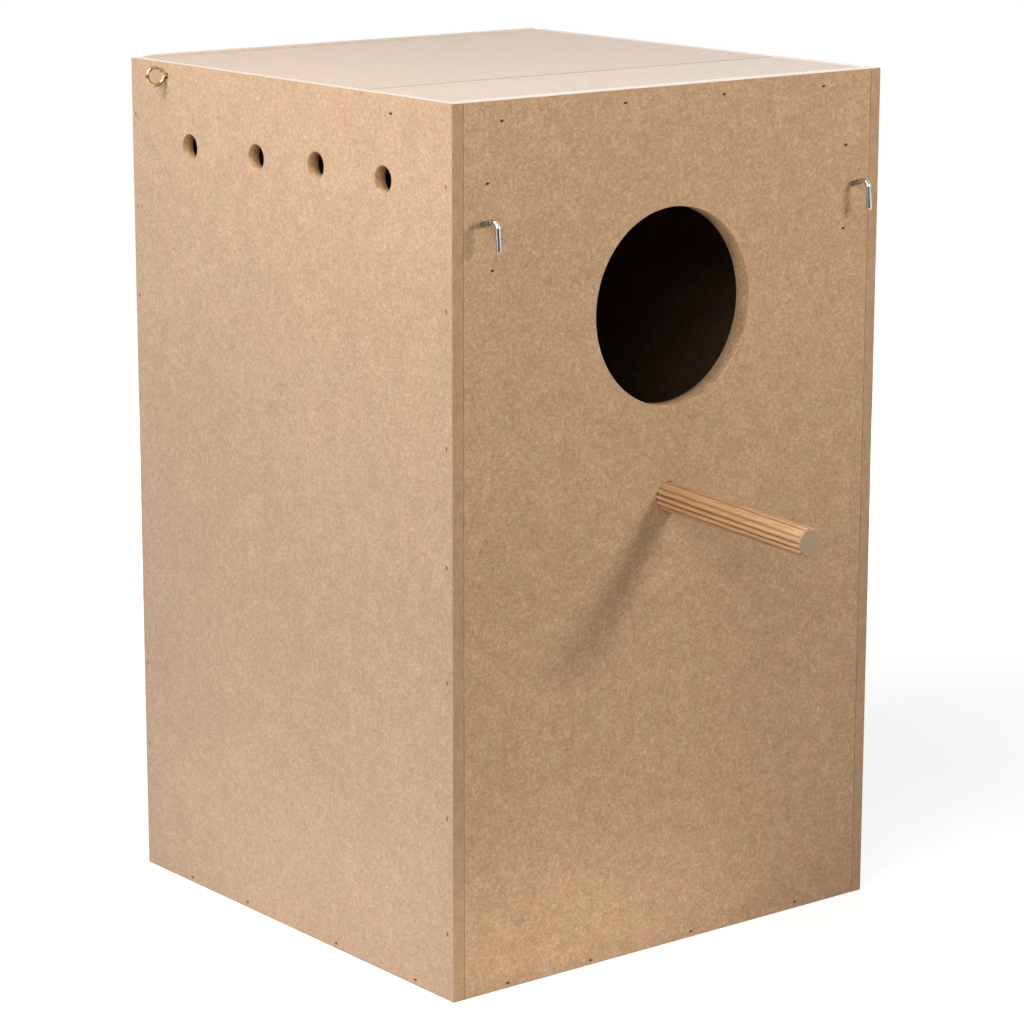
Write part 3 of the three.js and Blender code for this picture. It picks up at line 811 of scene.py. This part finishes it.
def makeHook(sideName, finish):
    side = sideSigns[sideName]
    tilt = math.radians(boards["hookTilt"])
    base = Vector((side * boards["hookAcross"] * mm, -boxHalf, boards["hookUp"] * mm))
    out = Vector((0, -math.cos(tilt), math.sin(tilt)))
    down = Vector((0, -math.sin(tilt), -math.cos(tilt)))
    radius = hook["wire"] / 2 * mm
    depth = (hook["behind"] + hook["grip"]) / math.cos(tilt) * mm
    start = base - out * depth
    piece = startWire(f"cage_hook_{sideName}_wire", start, out, radius, hook["sides"])
    bare = out * (wireStyle["bare"] * mm)
    drawOut(bare, 1.0, start)
    point = drawThread(start + bare, out, depth + hook["threadOut"] * mm, radius,
                       hook["threadDeep"] * mm, hook["pitch"] * mm)
    bendStart = base + out * (hook["reach"] - hook["bend"]) * mm
    drawOut(bendStart - point)
    turn = math.pi / 2 + tilt - math.radians(hook["splay"])
    centre = bendStart + down * hook["bend"] * mm
    turnOn(hook["bendSteps"], turn, centre, (1, 0, 0))
    legWay = Matrix.Rotation(turn, 3, "X") @ out
    drawOut(legWay * ((hook["leg"] - hook["bend"]) * hook["legTrim"] - hook["legTip"]) * mm)
    drawOut(legWay * hook["legTip"] * mm)
    endWire(piece, legWay, radius)
    capStart(piece, start, radius)
    closeUp(piece)
    piece.data.materials.append(finish)
    piece.data.materials.append(zincRootShade)
    straight = (hook["reach"] - hook["bend"]) * mm
    rootRadius = radius - 0.5 * hook["threadDeep"] * mm
    for face in piece.data.polygons:  # the thread's valleys are painted dark olive: painted shade in the thread's roots
        spot = face.center - base
        along = spot.dot(out)
        if along < straight and (spot - out * along).length < rootRadius:
            face.material_index = 1
    smoothExcept(piece, lambda face: max(abs(face.normal.dot(legWay)), abs(face.normal.dot(out))) > 0.999)
    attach(piece, "box")
    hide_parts(f"cage_hook_{sideName}")
    return piece


def makeEye(sideName, finish):
    side = sideSigns[sideName]
    along, up = boards["pivot"]
    base = Vector((side * boxHalf, along * mm, up * mm))
    out = Vector((side, 0, 0))
    radius = eye["wire"] / 2 * mm
    start = base - out * (eye["behind"] + eye["grip"]) * mm
    piece = startWire(f"pivot_eye_{sideName}_wire", start, out, radius, eye["sides"])
    bare = out * (wireStyle["bare"] * mm)
    drawOut(bare, 1.0, start)
    point = drawThread(start + bare, out, (eye["grip"] - eye["threadShort"]) * mm, radius,
                       eye["threadDeep"] * mm, eye["pitch"] * mm)
    ringOut = eye["standOff"] + eye["nodeWire"] / 2 + eye["ring"]
    back = math.sqrt(eye["ring"] ** 2 + 2 * eye["ring"] * eye["fillet"])
    bendStart = base + out * (ringOut - back) * mm
    drawOut(bendStart - point)
    meeting = math.asin(eye["fillet"] / (eye["ring"] + eye["fillet"]))
    opening = math.asin((eye["nodeWire"] + eye["endGap"]) / eye["ring"])
    # on the left the wire turns down first, as half a turn about the shank brings it there
    lift = -side
    filletTurn = math.pi / 2 - meeting
    ringTurn = 2 * math.pi - meeting - opening
    centre = bendStart + Vector((0, 0, -lift * eye["fillet"] * mm))
    turnOn(eye["filletSteps"], -filletTurn, centre, (0, 1, 0))
    turnOn(eye["ringSteps"], ringTurn, base + out * ringOut * mm, (0, 1, 0))
    endWire(piece, Matrix.Rotation(ringTurn - filletTurn, 3, "Y") @ out, radius)
    capStart(piece, start, radius)
    closeUp(piece)
    markInEdit(piece, "VERT", lambda v: (v.co - base).dot(out) > 0.1 * mm)  # the ring was bent back a little
    bpy.ops.transform.rotate(value=-math.radians(eye["bent"][sideName]) * side, orient_axis="Z",
                             orient_type="GLOBAL", center_override=base)
    bpy.ops.object.mode_set(mode="OBJECT")
    piece.data.materials.append(finish)
    smoothExcept(piece, lambda face: len(face.vertices) > 4)
    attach(piece, "lid")
    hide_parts(f"pivot_eye_{sideName}")
    return piece


zinc = metalFinish("zinc_wire", hook["pale"], hook["dark"], hook["rough"])
# the dark finish of the thread's valleys is painted shade
zincRootShade = metalFinish("zinc_root_painted_shade", hook["rootShadePale"], hook["rootShadeDark"], hook["rootRough"])
brass = metalFinish("brass_wire", eye["pale"], eye["dark"], eye["rough"])
for sideName in sideSigns:
    wires = makeHook(sideName, zinc), makeEye(sideName, brass)
    print("wire", sideName, [len(w.data.polygons) for w in wires])


# Floor, lights and camera

studio = {
    "floorHalf": 1.5, "floorColour": (0.56, 0.56, 0.56, 1.0), "liftNear": (0.3, 0.62), "liftFar": (1.3, 1.0),
    "worldLight": 0.09, "darkSide": (-0.60, -0.80, -0.06), "darkEdge": (0.64, 0.80), "darkest": 0.06,
    "lamps": (  # name, place, aim, width, height, power
        ("key", (0.27, -0.70, 0.543), (-0.08, -0.12, 0.36), 0.19, 0.1, 2.65),
        ("rake", (0.946, -1.253, 0.633), (0, -0.12, 0.3), 0.12, 0.12, 0.4),
        ("leftNear", (-0.50, -0.52, 0.65), (-0.05, -0.1, 0.25), 0.3, 0.3, 1.4),
        ("leftTop", (-0.50, 0.05, 0.80), (-0.12, 0.02, 0.3), 0.3, 0.3, 4.1),
        ("left", (-1.1, -0.45, 0.75), (-0.1, -0.08, 0.22), 0.5, 0.5, 5.7),
        ("over", (0.35, 0.20, 0.90), (0.07, 0.0, 0.4), 0.3, 0.3, 1.05),
        ("behind", (0.75, 0.95, 0.24), (0.05, 0.1, 0.2), 0.6, 0.28, 6.0),
        ("frontCard", (-0.06, -0.19, 0.008), (-0.06, -0.125, 0.015), 0.2, 0.02, 0.037),
        ("sideCard", (-0.22, 0.0, 0.01), (-0.125, 0.0, 0.02), 0.26, 0.03, 0.065),
    ),
    "lens": 124.16, "sensor": 36.0, "clipFar": 60.0, "eyePoint": (-1.026615, -1.303257, 0.564722),
    "right": (0.783810, -0.620998, 0.001719), "up": (0.137567, 0.176332, 0.974670),
    "ahead": (0.605571, 0.763720, -0.223640),
}


def shownRays(tree):  # what the camera, metal and glass see directly
    path = addNode(tree, "ShaderNodeLightPath")
    seen = figure(tree, "MAXIMUM", path.outputs["Is Camera Ray"], path.outputs["Is Glossy Ray"])
    return figure(tree, "MAXIMUM", seen, path.outputs["Is Transmission Ray"])


def makeFloor():
    bpy.ops.object.select_all(action="DESELECT")
    bpy.ops.mesh.primitive_plane_add(size=2 * studio["floorHalf"], location=(0, 0, 0))
    floor = nameIt(bpy.context.object, "floor")
    finish, tree, shader = newFinish("floor_paper", 0.0)
    shader.inputs["Base Color"].default_value = studio["floorColour"]
    shader.inputs["Roughness"].default_value = 1.0
    away = addNode(tree, "ShaderNodeVectorMath", {0: placed(tree)}, operation="LENGTH").outputs["Value"]
    near, far = studio["liftNear"], studio["liftFar"]
    lift = ranged(tree, away, near[0], far[0], near[1], far[1])  # the paper shows white, but for the shadow
    tree.links.new(figure(tree, "MULTIPLY", shownRays(tree), lift), shader.inputs["Emission Strength"])
    shader.inputs["Emission Color"].default_value = (1, 1, 1, 1)
    floor.data.materials.append(finish)


def makeWorld():
    world = bpy.data.worlds.new("studio")
    bpy.context.scene.world = world
    world.use_nodes = True
    tree = world.node_tree
    back = tree.nodes["Background"]
    back.inputs["Color"].default_value = (1, 1, 1, 1)
    lit = ranged(tree, shownRays(tree), 0.0, 1.0, studio["worldLight"], 1.0)
    # the room is dark behind the viewer's back, which metal shows as a dark core
    spot = addNode(tree, "ShaderNodeTexCoord").outputs["Object"]
    way = addNode(tree, "ShaderNodeVectorMath", {0: spot, 1: studio["darkSide"]},
                  operation="DOT_PRODUCT").outputs["Value"]
    path = addNode(tree, "ShaderNodeLightPath")
    dark = figure(tree, "MULTIPLY", ranged(tree, way, *studio["darkEdge"]), path.outputs["Is Glossy Ray"])
    tree.links.new(figure(tree, "MULTIPLY", lit, ranged(tree, dark, 0.0, 1.0, 1.0, studio["darkest"])),
                   back.inputs["Strength"])


def makeLamps():
    for name, place, aim, wide, tall, power in studio["lamps"]:
        light = bpy.data.lights.new(name, "AREA")
        light.shape = "RECTANGLE"
        light.size, light.size_y = wide, tall
        light.energy = power
        lamp = bpy.data.objects.new(name, light)
        bpy.context.scene.collection.objects.link(lamp)
        way = Vector(aim) - Vector(place)
        lamp.matrix_world = Matrix.Translation(place) @ way.to_track_quat("-Z", "Y").to_matrix().to_4x4()
        lamp.visible_camera = False


def makeCamera():
    view = bpy.data.cameras.new("camera")
    view.lens = studio["lens"]
    view.sensor_width = studio["sensor"]
    view.clip_end = studio["clipFar"]
    camera = bpy.data.objects.new("camera", view)
    bpy.context.scene.collection.objects.link(camera)
    axes = Matrix((studio["right"], studio["up"], [-a for a in studio["ahead"]])).transposed()
    camera.matrix_world = Matrix.Translation(studio["eyePoint"]) @ axes.to_4x4()
    bpy.context.scene.camera = camera


makeFloor()
makeWorld()
makeLamps()
makeCamera()
bpy.context.scene.view_settings.view_transform = "Standard"
print("studio ready")
